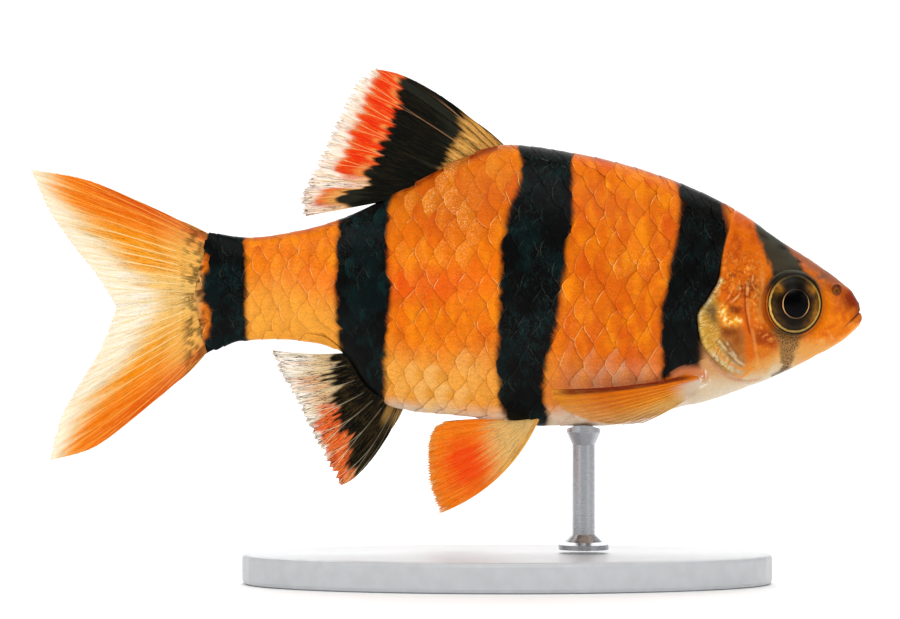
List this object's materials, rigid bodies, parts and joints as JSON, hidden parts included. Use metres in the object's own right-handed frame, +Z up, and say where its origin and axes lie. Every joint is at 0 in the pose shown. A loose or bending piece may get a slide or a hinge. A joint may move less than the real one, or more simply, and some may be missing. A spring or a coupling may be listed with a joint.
{
  "type": "tiger barb",
  "caption": "Small deep-bodied striped fish with spread fins, as a life-size still model held level on a flat oval base by a short rod.",
  "frame": {"origin": "on the floor under the middle of the whole model, which rests on its oval base", "axes": "+X towards the snout, +Y to the fish's left, +Z up"},
  "size_m": [0.066, 0.023, 0.0406],
  "materials": {
    "body": "orange with black bands, wet-looking scales",
    "fins": "thin, satin, orange to clear",
    "eyes": "high gloss, dark with a gold ring",
    "base": "satin pale grey",
    "rod": "fine satin steel"
  },
  "bodies": {
    "root": {"head": "body", "torso": "body", "tail_stem": "body", "eye_left": "eyes", "eye_right": "eyes", "dorsal_fin": "fins", "anal_fin": "fins", "tail_fin_upper": "fins", "tail_fin_lower": "fins", "pectoral_fin_left": "fins", "pectoral_fin_right": "fins", "pelvic_fin_left": "fins", "pelvic_fin_right": "fins", "stand_base": "base", "stand_rod": "rod"}
  },
  "joints": []
}
